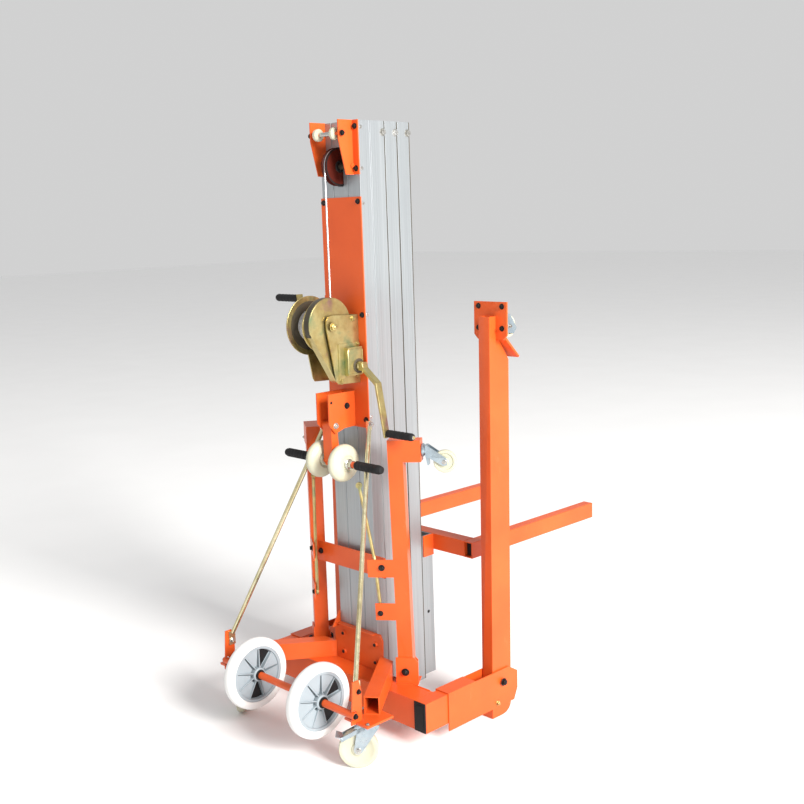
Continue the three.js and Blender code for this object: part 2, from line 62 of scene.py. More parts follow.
# The pockets of each transport hub whose floor is drawn black: painted shade standing for the deep shadow in them.
SHADED_POCKETS = {"right": {0, 7}, "left": {1, 6}}
LEG_PLATE_OUTSIDE, LEG_PLATE_INSIDE = 414.2, 341.8
END_PLATE_OUTSIDE, END_PLATE_INSIDE = 333.2, 321.8
AXLE_END = 340.2
BRACE_FOOT_Z = 262
DECK_TOP_Z = 165.8
SOCKET_FACE = 34.6
LEG_MIDDLE_X, LEG_TUBE_TOP_Z = 378, 1362
# From the stabilizer rod's eye: its tip, and the bolt of the clip that holds it.
ROD_TIP_IN, ROD_TIP_UP = 51, 434
CLIP_OUT, CLIP_UP = 12, 157
SECTION_SCREW_Z = 1974
SIDE_SCREWS_Z = (1988, 1859, 1748, 1390, 1050)
COVER_BOLT_X, TOP_BOLT_X, ROLLER_BOLT_X = 84, 82, 76.2
HUB_PLATE_BOLTS = ((-72, 263), (-72, 196), (91, 261), (91, 198))
WINCH_BOX_FACE = 84.2
COVER_ARC_R, COVER_TIP_R = 86, 20
LOADING_AXLE_END = 237
SLIDING_SECTIONS = (("mast_2", "mast_section_2"), ("mast_3", "mast_section_3"))
# Caster rows: names, wheel width, wheel radius, raceway radius, and whether it has a brake.
CASTERS = (
    ("rear_caster", "rear_wheel", 32, 63, 32, True),
    ("leg_caster", "leg_wheel", 26, 38, 24, False),
    ("stabilizer_caster", "stabilizer_wheel", 24, 37.5, 17, False),
)


# ---- materials
class Look:
    """A Principled material whose nodes are added one by one."""

    def __init__(self, name, color, rough, metal=0.0, coat=0.0, specular=0.5):
        self.mat = bpy.data.materials.new(name)
        self.mat.use_nodes = True
        self.mat.diffuse_color = (*color, 1)
        self.tree = self.mat.node_tree
        self.shader = self.tree.nodes["Principled BSDF"]
        self.color = color
        self.rough = rough
        self.shader.inputs["Base Color"].default_value = (*color, 1)
        self.shader.inputs["Roughness"].default_value = rough
        self.shader.inputs["Metallic"].default_value = metal
        self.shader.inputs["Coat Weight"].default_value = coat
        self.shader.inputs["Coat Roughness"].default_value = 0.15
        self.shader.inputs["Specular IOR Level"].default_value = specular
        self.coords = self.add("ShaderNodeTexCoord").outputs["Object"]
        self.height = None

    def add(self, kind, **values):
        node = self.tree.nodes.new(kind)
        for key, value in values.items():
            if hasattr(node, key):
                setattr(node, key, value)
            else:
                node.inputs[key.replace("_", " ")].default_value = value
        return node

    def link(self, a, b):
        self.tree.links.new(a, b)

    def noise(self, scale, stretch=(1, 1, 1), detail=4, rough=0.55):
        mapping = self.add("ShaderNodeMapping")
        mapping.inputs["Scale"].default_value = stretch
        self.link(self.coords, mapping.inputs["Vector"])
        noise = self.add("ShaderNodeTexNoise")
        noise.inputs["Scale"].default_value = scale
        noise.inputs["Detail"].default_value = detail
        noise.inputs["Roughness"].default_value = rough
        self.link(mapping.outputs["Vector"], noise.inputs["Vector"])
        return noise.outputs["Fac"]

    def ramp(self, fac, stops):
        ramp = self.add("ShaderNodeValToRGB")
        elements = ramp.color_ramp.elements
        while len(elements) < len(stops):
            elements.new(0.5)
        for element, (place, color) in zip(elements, stops):
            element.position = place
            element.color = (*color, 1) if len(color) == 3 else color
        self.link(fac, ramp.inputs["Fac"])
        return ramp.outputs["Color"]

    def mix(self, fac, a, b, blend="MIX"):
        node = self.add("ShaderNodeMix", data_type="RGBA", blend_type=blend)
        for value, socket in ((fac, 0), (a, 6), (b, 7)):
            if hasattr(value, "is_output"):
                self.link(value, node.inputs[socket])
            elif isinstance(value, tuple):
                node.inputs[socket].default_value = (*value, 1)
            else:
                node.inputs[socket].default_value = value
        return node.outputs[2]

    def paint(self, color):
        self.link(color, self.shader.inputs["Base Color"])

    def roughen(self, fac, low, high):
        span = self.add("ShaderNodeMapRange")
        span.inputs["To Min"].default_value = low
        span.inputs["To Max"].default_value = high
        self.link(fac, span.inputs["Value"])
        self.link(span.outputs["Result"], self.shader.inputs["Roughness"])

    def bump(self, fac, depth, strength=1.0):
        node = self.add("ShaderNodeBump")
        node.inputs["Strength"].default_value = strength
        node.inputs["Distance"].default_value = depth
        self.link(fac, node.inputs["Height"])
        if self.height:
            self.link(self.height, node.inputs["Normal"])
        self.height = node.outputs["Normal"]
        self.link(self.height, self.shader.inputs["Normal"])


def varied(name, color, rough, metal=0.0, spread=0.08, grain=900, depth=0.00006, **more):
    """Even colour with slow variation, fine surface grain and uneven gloss."""
    look = Look(name, color, rough, metal, **more)
    dark = tuple(c * (1 - spread) for c in color)
    light = tuple(min(1, c * (1 + spread)) for c in color)
    slow = look.noise(9, detail=6)
    look.paint(look.ramp(slow, [(0.32, dark), (0.68, light)]))
    look.roughen(look.noise(38, detail=5), rough * 0.8, min(1, rough * 1.25))
    look.bump(look.noise(grain, detail=2), depth, 0.5)
    return look


def orange_paint():
    color = (0.66, 0.092, 0.014)
    look = Look("orange_paint", color, 0.40, coat=0.10, specular=0.30)
    slow = look.noise(5, detail=6)
    base = look.ramp(slow, [(0.3, (0.61, 0.080, 0.012)), (0.7, (0.70, 0.104, 0.017))])
    dust = look.noise(26, (1, 1, 0.35), detail=8, rough=0.7)
    spots = look.ramp(dust, [(0.62, (0, 0, 0)), (0.8, (0.3, 0.3, 0.3))])
    look.paint(look.mix(spots, base, (0.70, 0.28, 0.12)))
    look.roughen(dust, 0.26, 0.52)
    look.bump(look.noise(620, detail=2), 0.00012, 0.35)
    look.bump(look.noise(14, detail=3), 0.0006, 0.12)
    return look.mat


def mast_aluminium():
    look = Look("mast_aluminium", (0.38, 0.405, 0.42), 0.40, 0.7)
    lines = look.noise(420, (1, 1, 0.004), detail=3)
    broad = look.noise(60, (1, 1, 0.012), detail=4)
    tint = look.ramp(lines, [(0.3, (0.335, 0.36, 0.375)), (0.7, (0.43, 0.455, 0.47))])
    stain = look.ramp(look.noise(4, (1, 1, 0.4), 6), [(0.4, (1, 1, 1)), (0.75, (0.9, 0.9, 0.92))])
    look.paint(look.mix(0.6, tint, stain, "MULTIPLY"))
    look.roughen(broad, 0.32, 0.50)
    look.bump(lines, 0.00005, 0.5)
    return look.mat


def plated(name, stops, rough, metal=0.9):
    """Zinc plating, whose tint drifts through a few colours."""
    look = Look(name, stops[1][1], rough, metal)
    drift = look.noise(11, detail=5, rough=0.6)
    fine = look.noise(70, detail=3)
    tint = look.ramp(drift, stops)
    look.paint(look.mix(0.25, tint, look.ramp(fine, [(0.3, (0.5, 0.5, 0.5)), (0.7, (1, 1, 1))]), "MULTIPLY"))
    look.roughen(fine, rough * 0.7, rough * 1.4)
    look.bump(look.noise(500, detail=2), 0.00005, 0.4)
    return look.mat


def gold_zinc():
    return plated("gold_zinc", [
        (0.30, (0.33, 0.19, 0.16)), (0.42, (0.43, 0.33, 0.13)),
        (0.56, (0.52, 0.44, 0.20)), (0.70, (0.27, 0.33, 0.17)),
    ], 0.32)


# A paler, glossier copy of gold_zinc: painted highlight, since the brace rods are the same gold zinc as the other
# rods.
def lit_gold_zinc():
    return plated("lit_gold_zinc", [
        (0.30, (0.50, 0.42, 0.24)), (0.45, (0.64, 0.56, 0.33)),
        (0.60, (0.74, 0.68, 0.46)), (0.74, (0.46, 0.43, 0.23)),
    ], 0.2)


def blue_zinc():
    return plated("blue_zinc", [
        (0.30, (0.30, 0.37, 0.43)), (0.55, (0.44, 0.52, 0.57)), (0.72, (0.54, 0.60, 0.62)),
    ], 0.28)


def wire_rope():
    look = Look("wire_rope", (0.62, 0.62, 0.62), 0.38, 0.9)
    mapping = look.add("ShaderNodeMapping")
    mapping.inputs["Rotation"].default_value = (0, 0.6, 0)
    look.link(look.coords, mapping.inputs["Vector"])
    wave = look.add("ShaderNodeTexWave")
    wave.bands_direction = "Z"
    wave.inputs["Scale"].default_value = 90
    look.link(mapping.outputs["Vector"], wave.inputs["Vector"])
    strands = wave.outputs["Fac"]
    look.paint(look.ramp(strands, [(0.2, (0.30, 0.30, 0.31)), (0.6, (0.74, 0.74, 0.75))]))
    look.bump(strands, 0.0006, 0.8)
    return look.mat


def cream_plastic():
    look = varied("cream_plastic", (0.50, 0.49, 0.37), 0.36, spread=0.06, grain=260, depth=0.00005)
    look.shader.inputs["Subsurface Weight"].default_value = 0.15
    look.shader.inputs["Subsurface Radius"].default_value = (0.012, 0.009, 0.005)
    look.shader.inputs["Subsurface Scale"].default_value = 0.4
    return look.mat


def foam_grip():
    color = (0.012, 0.012, 0.013)
    return varied("foam_grip", color, 0.72, spread=0.25, grain=1400, depth=0.0003, specular=0.25).mat


MATS = {
    "orange_paint": orange_paint(),
    "mast_aluminium": mast_aluminium(),
    "gold_zinc": gold_zinc(),
    "lit_gold_zinc": lit_gold_zinc(),
    "blue_zinc": blue_zinc(),
    "wire_rope": wire_rope(),
    "black_rubber": foam_grip(),
    "cream_plastic": cream_plastic(),
    "white_tyre": varied("white_tyre", (0.74, 0.74, 0.73), 0.5, spread=0.03, grain=300).mat,
    "grey_hub": varied("grey_hub", (0.29, 0.335, 0.365), 0.45, spread=0.06, grain=700).mat,
    "maroon_plastic": varied("maroon_plastic", (0.065, 0.008, 0.004), 0.5, spread=0.2, specular=0.10).mat,
    "black_oxide": varied("black_oxide", (0.016, 0.014, 0.014), 0.42, 0.4, spread=0.3, specular=0.3).mat,
    "black_plastic": varied("black_plastic", (0.010, 0.010, 0.011), 0.5, spread=0.2, specular=0.2).mat,
    "bright_zinc": plated("bright_zinc", [
        (0.3, (0.40, 0.39, 0.35)), (0.5, (0.53, 0.52, 0.49)), (0.7, (0.62, 0.62, 0.61)),
    ], 0.25),
    "dark_steel": varied("dark_steel", (0.10, 0.085, 0.06), 0.45, 0.7, spread=0.3).mat,
}
SLOT_OF = {
    "black_oxide": "blue_zinc", "black_plastic": "black_rubber",
    "bright_zinc": "blue_zinc", "dark_steel": "gold_zinc", "lit_gold_zinc": "gold_zinc",
}


# ---- mesh building
def turned_to(direction):
    """Rotation that takes +Z to the given direction."""
    return Vector(direction).normalized().to_track_quat("Z", "Y").to_matrix().to_4x4()


class Piece:
    """Gathers several simple solids, in millimetres, into one object."""

    def __init__(self, name, body, material, slot=None, bevel=0.0):
        self.name, self.body, self.material = name, body, material
        self.slot = slot or SLOT_OF.get(material, material)
        self.bevel = bevel
        self.bm = bmesh.new()

    def _place(self, verts, at, direction):
        matrix = Matrix.Translation(Vector(at)) @ turned_to(direction)
        bmesh.ops.transform(self.bm, matrix=matrix, verts=verts)

    def lathe(self, profile, at, direction=(0, 0, 1), n=24, phase=0.0):
        """Turns (radius, height) points about the direction; radius 0 closes an end."""
        rings, verts = [], []
        for radius, height in profile:
            if radius <= 1e-6:
                ring = [self.bm.verts.new((0, 0, height))]
            else:
                ring = [
                    self.bm.verts.new((
                        radius * math.cos(phase + 2 * math.pi * i / n),
                        radius * math.sin(phase + 2 * math.pi * i / n),
                        height,
                    ))
                    for i in range(n)
                ]
            rings.append(ring)
            verts += ring
        pairs = list(zip(rings, rings[1:]))
        if profile[0][0] > 1e-6 and profile[-1][0] > 1e-6:
            pairs.append((rings[-1], rings[0]))
        for a, b in pairs:
            for i in range(n):
                j = (i + 1) % n
                corners = [a[i % len(a)], a[j % len(a)], b[j % len(b)], b[i % len(b)]]
                face = list(dict.fromkeys(corners))
                if len(face) > 2:
                    self.bm.faces.new(face)
        self._place(verts, at, direction)
        return self

    def block(self, lo, hi):
        verts = bmesh.ops.create_cube(self.bm, size=1)["verts"]
        lo, hi = Vector(lo), Vector(hi)
        scale = Matrix.Diagonal((*(hi - lo), 1))
        bmesh.ops.transform(self.bm, matrix=Matrix.Translation((lo + hi) / 2) @ scale, verts=verts)
        return self

    def slab(self, outline, thickness, at=(0, 0, 0), u=X, v=Z):
        """A flat plate: 2-D outline laid along u and v, as thick as given along u x v."""
        u, v, at = Vector(u), Vector(v), Vector(at)
        n = u.cross(v).normalized() * thickness
        low = [self.bm.verts.new(at + u * a + v * b) for a, b in outline]
        high = [self.bm.verts.new(vert.co + n) for vert in low]
        self.bm.faces.new(list(reversed(low)))
        self.bm.faces.new(high)
        count = len(outline)
        for i in range(count):
            j = (i + 1) % count
            self.bm.faces.new([low[i], low[j], high[j], high[i]])
        return self

    def rod(self, path, radius, n=12):
        """A round bar through the points, mitred at its corners."""
        path = [Vector(p) for p in path]
        rings = []
        side = None
        for i, p in enumerate(path):
            before = (p - path[i - 1]).normalized() if i else None
            after = (path[i + 1] - p).normalized() if i + 1 < len(path) else None
            tangent = ((before or after) + (after or before)).normalized()
            if side is None:
                side = tangent.orthogonal().normalized()
            side = (side - tangent * side.dot(tangent)).normalized()
            other = tangent.cross(side)
            ring = []
            for k in range(n):
                a = 2 * math.pi * k / n
                offset = side * math.cos(a) + other * math.sin(a)
                ring.append(self.bm.verts.new(p + offset * radius))
            rings.append(ring)
        for a, b in zip(rings, rings[1:]):
            for k in range(n):
                j = (k + 1) % n
                self.bm.faces.new([a[k], a[j], b[j], b[k]])
        self.bm.faces.new(list(reversed(rings[0])))
        self.bm.faces.new(rings[-1])
        return self

    def bolt(self, at, direction, radius=6.5, height=6, washer=1.35):
        """Hexagon head on a washer, with a chamfered top and a small hollow in it."""
        r, h, t = radius, height, 1.6
        if washer:
            w = radius * washer
            self.lathe([(0, 0), (w, 0), (w, t * 0.7), (w - 0.6, t), (0, t)], at, direction, 20)
        base = Vector(at) + Vector(direction).normalized() * (t - 0.1 if washer else 0)
        self.lathe([
            (0, 0), (r, 0), (r, h - 0.9), (r * 0.86, h), (r * 0.5, h), (r * 0.4, h - 0.7), (0, h - 0.7),
        ], base, direction, 6, random.random())
        return self

    def nut(self, at, direction, radius=8, height=7):
        """Hexagon nut with a domed bolt end standing out of it."""
        self.bolt(at, direction, radius, height)
        r = radius * 0.5
        top = height + 1
        self.lathe([(0, 1), (r, 1), (r, top + 2), (r * 0.7, top + 3.4), (0, top + 3.8)], at, direction, 14)
        return self

    def done(self, smooth=35):
        bmesh.ops.scale(self.bm, vec=(MM, MM, MM), verts=self.bm.verts)
        bmesh.ops.recalc_face_normals(self.bm, faces=self.bm.faces)
        mesh = bpy.data.meshes.new(self.name)
        self.bm.to_mesh(mesh)
        self.bm.free()
        obj = bpy.data.objects.new(self.name, mesh)
        bpy.context.scene.collection.objects.link(obj)
        mesh.materials.append(MATS[self.material])
        mesh.polygons.foreach_set("use_smooth", [True] * len(mesh.polygons))
        mesh.set_sharp_from_angle(angle=math.radians(smooth))
        if self.bevel:
            soften(obj, self.bevel)
        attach(obj, self.body)
        return obj


def soften(obj, width, segments=2):
    """Rounds the hard edges, so that they catch the light as real ones do."""
    weld = obj.modifiers.new("weld", "WELD")
    weld.merge_threshold = 0.00002
    bevel = obj.modifiers.new("edges", "BEVEL")
    bevel.width = width * MM
    bevel.segments = segments
    bevel.limit_method = "ANGLE"
    bevel.angle_limit = math.radians(40)
    bevel.use_clamp_overlap = True
    bevel.harden_normals = False


def spot(node):
    """A CAD node's box in millimetres: (low corner, high corner, centre)."""
    lo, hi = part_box(node)
    return lo / MM, hi / MM, (lo + hi) / (2 * MM)


def joint(name):
    return next(j for j in frame["joints"] if j["name"] == name)


def pivot(name):
    return Vector(joint(name)["pos_m"]) / MM


# ---- CAD nodes: finish and softened edges
EDGE = {"orange_paint": 1.2, "gold_zinc": 0.8, "mast_aluminium": 0.6, "blue_zinc": 0.6}
NO_EDGE = ("hoist_rope", "rope_pulley")
slot_of = {s["node"]: s["material_slot"] for s in frame["record"]["subparts"]}
for name, obj in nodes.items():
    slot_name = slot_of[name]
    obj.data.materials.clear()
    # Brace rods take the paler copy of gold zinc: a painted highlight.
    obj.data.materials.append(MATS["lit_gold_zinc" if name.startswith("brace_rod") else slot_name])
    if slot_name in EDGE and name not in NO_EDGE:
        soften(obj, EDGE[slot_name])


# ---- transport wheels: ribbed hubs with pockets, bearing rings and washers
def transport_wheel(side):
    lo, hi, c = spot(f"transport_hub_{side}")
    body = f"transport_wheel_{side}"
    rim = (hi.y - lo.y) / 2
    boss, half = HUB_BOSS_R, (hi.x - lo.x) / 2
    hub = Piece(f"hub_{side}", body, "grey_hub", bevel=0.9)
    hub.lathe([
        (12.3, -half), (boss - 3, -half), (boss, 3 - half), (boss, -2.5), (rim - 12, -2.5), (rim - 9, -15),
        (rim, -15.5), (rim, 15.5), (rim - 9, 15), (rim - 12, 2.5), (boss, 2.5), (boss, half - 3),
        (boss - 3, half), (12.3, half),
    ], c, X, 72)
    ribs = HUB_RIBS
    for k in range(ribs):
        a = 2 * math.pi * (k + 0.15) / ribs
        radial = Y * math.cos(a) + Z * math.sin(a)
        across = -Y * math.sin(a) + Z * math.cos(a)
        for face in (1, -1):
            outline = [(boss - 2, 0), (rim - 9.5, 0), (rim - 9.5, 11), (boss - 2, 17)]
            hub.slab(outline, 3.2, c - across * 1.6 + X * face * 2, radial, X * face)
    obj = hub.done(30)
    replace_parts(obj, f"transport_hub_{side}")

    web = Piece(f"hub_web_{side}", body, "grey_hub", bevel=0.5)
    shaded_pockets = SHADED_POCKETS[side]
    for face in (1, -1):
        for k in range(ribs):
            if k in shaded_pockets:
                continue
            a0 = 2 * math.pi * (k + 0.17) / ribs
            a1 = 2 * math.pi * (k + 1.13) / ribs
            pts = [((boss + 8) * math.cos(a0 + 0.12), (boss + 8) * math.sin(a0 + 0.12))]
            for i in range(7):
                a = a0 + (a1 - a0) * i / 6
                pts.append(((rim - 10) * math.cos(a), (rim - 10) * math.sin(a)))
            pts.append(((boss + 8) * math.cos(a1 - 0.12), (boss + 8) * math.sin(a1 - 0.12)))
            if face < 0:
                pts = [(-p, q) for p, q in pts]
            web.slab(pts, 2.4, c + X * face * 8.6, Y * face, Z)
    web.done(30)
    # Black sheets in the shaded pockets: painted shade, not a part of the hub.
    dark = Piece(f"hub_pocket_shade_{side}", body, "black_plastic")
    for face in (1, -1):
        for k in sorted(shaded_pockets):
            a0, a1 = 2 * math.pi * (k + 0.19) / ribs, 2 * math.pi * (k + 1.11) / ribs
            turns = [a0 + (a1 - a0) * i / 6 for i in range(7)]
            pts = [((rim - 11) * math.cos(a), (rim - 11) * math.sin(a)) for a in turns]
            pts += [((boss + 4) * math.cos(a), (boss + 4) * math.sin(a)) for a in (a1, a0)]
            if face < 0:
                pts = [(-p, q) for p, q in pts]
            dark.slab(pts, 0.6, c + X * face * 2.6, Y * face, Z)
    dark.done(30)

    ring = Piece(f"hub_bearing_{side}", body, "black_oxide")
    for face in (1, -1):
        profile = [(12.6, 0), (18, 0), (18, 1.6), (16, 2.4), (12.6, 2.4)]
        ring.lathe(profile, c + X * face * half, X * face, 32)
    ring.done()

    lo, hi, c = spot(f"transport_tyre_{side}")
    r, h, inner = (hi.y - lo.y) / 2, (hi.x - lo.x) / 2, rim + 0.2
    tyre = Piece(f"tyre_{side}", body, "white_tyre")
    tyre.lathe([
        (inner, -15.8), (inner + 2, -16.8), (inner + 6, -17.6), (r - 9, -h), (r - 5, 2 - h), (r - 2, 6.4 - h),
        (r - 0.6, 11 - h), (r, 0), (r - 0.6, h - 11), (r - 2, h - 6.4), (r - 5, h - 2), (r - 9, h),
        (inner + 6, 17.6), (inner + 2, 16.8), (inner, 15.8),
    ], c, X, 96)
    tyre_obj = tyre.done(50)
    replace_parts(tyre_obj, f"transport_tyre_{side}")

    collar = Piece(f"axle_collar_{side}", "base", "black_oxide")
    for face in (1, -1):
        place = (c.x + face * 27.5, c.y, c.z)
        collar.lathe([(12.2, 0), (16.5, 0), (16.5, 3), (12.2, 3)], place, X * face, 28)
    collar.done()


# ---- casters
def caster_wheel(node, body, spin, width, radius, name):
    axis = Vector(joint(spin)["axis"]).normalized()
    c = pivot(spin)
    r, w = radius, width / 2
    wheel = Piece(name, body, "cream_plastic")
    profile = [
        (5.6, -w), (r * 0.30, -w), (r * 0.33, 1.5 - w), (r * 0.36, 4.5 - w), (r * 0.70, 4.5 - w),
        (r * 0.76, 1.8 - w), (r * 0.86, 1.2 - w), (r * 0.955, 2.4 - w), (r * 0.992, 5.5 - w), (r, 0),
    ]
    profile += [(a, -b) for a, b in reversed(profile[:-1])]
    wheel.lathe(profile, c, axis, 56)
    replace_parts(wheel.done(40), node)
    hub = Piece(name + "_bearing", body, "bright_zinc")
    for face in (1, -1):
        hub.lathe([
            (0, 0), (r * 0.24, 0), (r * 0.24, 0.7), (r * 0.20, 1.1), (0, 1.1),
        ], c + axis * face * (w - 0.2), axis * face, 28)
    hub.done()


def caster_hardware(name, body, swivel, spin, width, radius, plate, brake=False):
    """Raceway, axle bolt and nut, and a brake pedal where there is one."""
    down = Vector(joint(swivel)["axis"]).normalized()
    centre, axle = pivot(swivel), pivot(spin)
    if (axle - centre).dot(down) < 0:
        down = -down
    axis = Vector(joint(spin)["axis"]).normalized()
    race = Piece(name + "_race", body, "blue_zinc")
    race.lathe([
        (plate * 0.5, 1.2), (plate + 3, 1.2), (plate + 5, 3), (plate + 5, 7), (plate + 2, 10),
        (plate * 0.9, 13), (plate * 0.5, 13),
    ], centre, down, 36)
    race.done()
    pins = Piece(name + "_axle_nuts", body, "bright_zinc")
    h = width / 2 + 1.2
    for face in (1, -1):
        pins.nut(axle + axis * face * (h + 3.1), axis * face, 7.2 if radius > 50 else 5.8, 5)
    pins.done()
    if not brake:
        return
    trail = (axle - centre) - down * (axle - centre).dot(down)
    back = trail.normalized()
    pedal = Piece(name + "_brake", body, "blue_zinc", bevel=0.6)
    start = centre + down * 21 + back * (trail.length * 0.4)
    side = axis * (h + 2)
    tip = axle + back * (radius * 0.86) - down * (radius * 0.55)
    for face in (1, -1):
        a, b = start + side * face, tip + side * face
        along, wide = (b - a).normalized(), 7
        normal = axis * face
        v = along.cross(normal).normalized()
        reach = (b - a).length
        outline = [(0, -wide), (reach, -wide), (reach, wide), (0, wide)]
        pedal.slab(outline, 2.4, a + normal, along, v)
    a = tip - axis * (h + 5) - back * 6
    tread = [(0, 0), (2 * h + 10, 0), (2 * h + 10, 24), (0, 24)]
    pedal.slab(tread, 2.6, a - down * 4, axis, (back - down * 0.35).normalized())
    pedal.done()


# ---- base frame
def base_details(side, sign):
    rail_lo, rail_hi, rail_c = spot(f"side_rail_{side}")
    end = rail_lo.y
    cap = Piece(f"rail_cap_{side}", "base", "black_plastic", bevel=1.2)
    cap.block((rail_lo.x + 0.4, end - 4.5, rail_lo.z + 0.4), (rail_hi.x - 0.4, end - 0.2, rail_hi.z - 0.4))
    cap.block((rail_lo.x + 9, end - 6, rail_lo.z + 9), (rail_hi.x - 9, end - 4.4, rail_hi.z - 9))
    cap.done()

    bolts = Piece(f"base_bolts_{side}", "base", "black_oxide")
    bright = Piece(f"base_nuts_{side}", "base", "bright_zinc")

    # leg pivot and lock pins
    leg_pivot = pivot(f"leg_fold_{side}")
    bolts.nut((sign * LEG_PLATE_OUTSIDE, leg_pivot.y, leg_pivot.z), X * sign, 10, 8)
    bolts.bolt((sign * LEG_PLATE_INSIDE, leg_pivot.y, leg_pivot.z), -X * sign, 10, 7)
    face = abs(rail_c.x) + 29.6
    lock = Piece(f"leg_lock_pin_{side}", "base", "gold_zinc")
    lock.bolt((sign * face, leg_pivot.y - 25, 54), X * sign, 7, 6)
    lock.done()

    # rear caster deck
    deck = pivot(f"rear_caster_swivel_{side}")
    inner = [(-1, -1), (1, -1)] if sign > 0 else [(1, -1), (-1, -1)]
    for a, b in inner:
        bright.bolt((deck.x + a * 41, deck.y + b * 43, DECK_TOP_Z), Z, 5, 4)
    # end plate bolts: brace rod above, axle below
    axle = pivot(f"transport_wheel_spin_{side}")
    bolts.bolt((sign * AXLE_END, axle.y, axle.z), X * sign, 7, 7)
    bolts.bolt((sign * END_PLATE_OUTSIDE, axle.y + 23, BRACE_FOOT_Z), X * sign, 6.5, 6)
    bright.bolt((sign * END_PLATE_INSIDE, axle.y + 23, BRACE_FOOT_Z), -X * sign, 7, 6)

    # brace rod's upper end on the mast
    _, rod_hi, _ = spot(f"brace_rod_{side}")
    bright.nut((sign * 111.2, rod_hi.y - 7, rod_hi.z - 12), X * sign, 8, 6)

    # stabilizer socket pivot
    swing = pivot(f"stabilizer_fold_{side}")
    axis = Vector(joint(f"stabilizer_fold_{side}")["axis"]).normalized()
    rear = axis if axis.y < 0 else -axis
    bolts.nut(swing + rear * SOCKET_FACE, rear, 9.5, 8)
    bolts.bolt(swing - rear * SOCKET_FACE, -rear, 9.5, 6)
    bolts.done()
    bright.done()

    lip = Piece(f"arm_weld_{side}", "base", "orange_paint", bevel=0.4)
    lip.rod([(sign * 116, CROSS_REAR - 0.5, 164), (sign * 175, CROSS_REAR - 0.5, 164)], 2.6, 8)
    lip.rod([(sign * 340, CROSS_REAR + 84, 165.5), (sign * 120, CROSS_REAR + 84, 165.5)], 2.2, 8)
    lip.done()


CROSS_REAR = spot("cross_tube")[0].y


def centre_details():
    dark = Piece("mast_bolts_dark", "base", "black_oxide")
    bright = Piece("mast_bolts_bright", "base", "bright_zinc")
    cover_lo, cover_hi, _ = spot("cover_plate")
    for z in (cover_hi.z - 15, 1390, cover_lo.z + 28):
        for x in (-COVER_BOLT_X, COVER_BOLT_X):
            dark.bolt((x, cover_lo.y, z), -Y, 7, 6)
    top_lo, top_hi, _ = spot("pulley_bracket")
    column_lo, column_hi, _ = spot("base_column")
    roller = pivot("top_roller_spin_right")
    for sign in (1, -1):
        for z in (top_hi.z - 20, top_lo.z + 19):
            dark.bolt((sign * TOP_BOLT_X, top_lo.y + 59.7, z), -Y, 7, 6)
        dark.bolt((sign * ROLLER_BOLT_X, roller.y, roller.z), X * sign, 7, 6)
        for z in SIDE_SCREWS_Z:
            bright.bolt((sign * column_hi.x, column_lo.y + 9, z), X * sign, 4, 3, 1.6)
        bright.bolt((sign * column_hi.x, column_hi.y - 9, SECTION_SCREW_Z), X * sign, 9, 7, 1.4)
    half = abs(roller.x) - 14
    sleeve = [(6.3, -half), (7.4, -half), (7.4, half), (6.3, half)]
    bright.lathe(sleeve, (0, roller.y, roller.z), X, 24)
    _, hub_hi, _ = spot("hub_plate")
    for x, z in HUB_PLATE_BOLTS:
        dark.bolt((x, hub_hi.y - 12.8, z), -Y, 6, 3, 0)
    bar_lo, _, bar = spot("storage_bar")
    for sign in (1, -1):
        dark.bolt((sign * 154, bar_lo.y, bar.z), -Y, 8, 7)
    dark.done()
    bright.done()
    # Thin dark strips along the front edge of each mast section: painted shade standing for the shadow in the gaps
    # between sections.
    for body, node in (("base", "base_column"), *SLIDING_SECTIONS):
        lo, hi, _ = spot(node)
        seam_shade = Piece(f"{node}_seam", body, "dark_steel")
        for x in (lo.x, hi.x):
            seam_shade.block((x - 0.35, hi.y - 3.2, lo.z + 1), (x + 0.35, hi.y - 0.2, hi.z - 1))
        seam_shade.done()
    for body, node in SLIDING_SECTIONS:
        _, hi, _ = spot(node)
        screws = Piece(f"{body}_screws", body, "bright_zinc")
        for sign in (1, -1):
            screws.bolt((sign * hi.x, hi.y - 9, SECTION_SCREW_Z), X * sign, 9, 7, 1.4)
        screws.done()


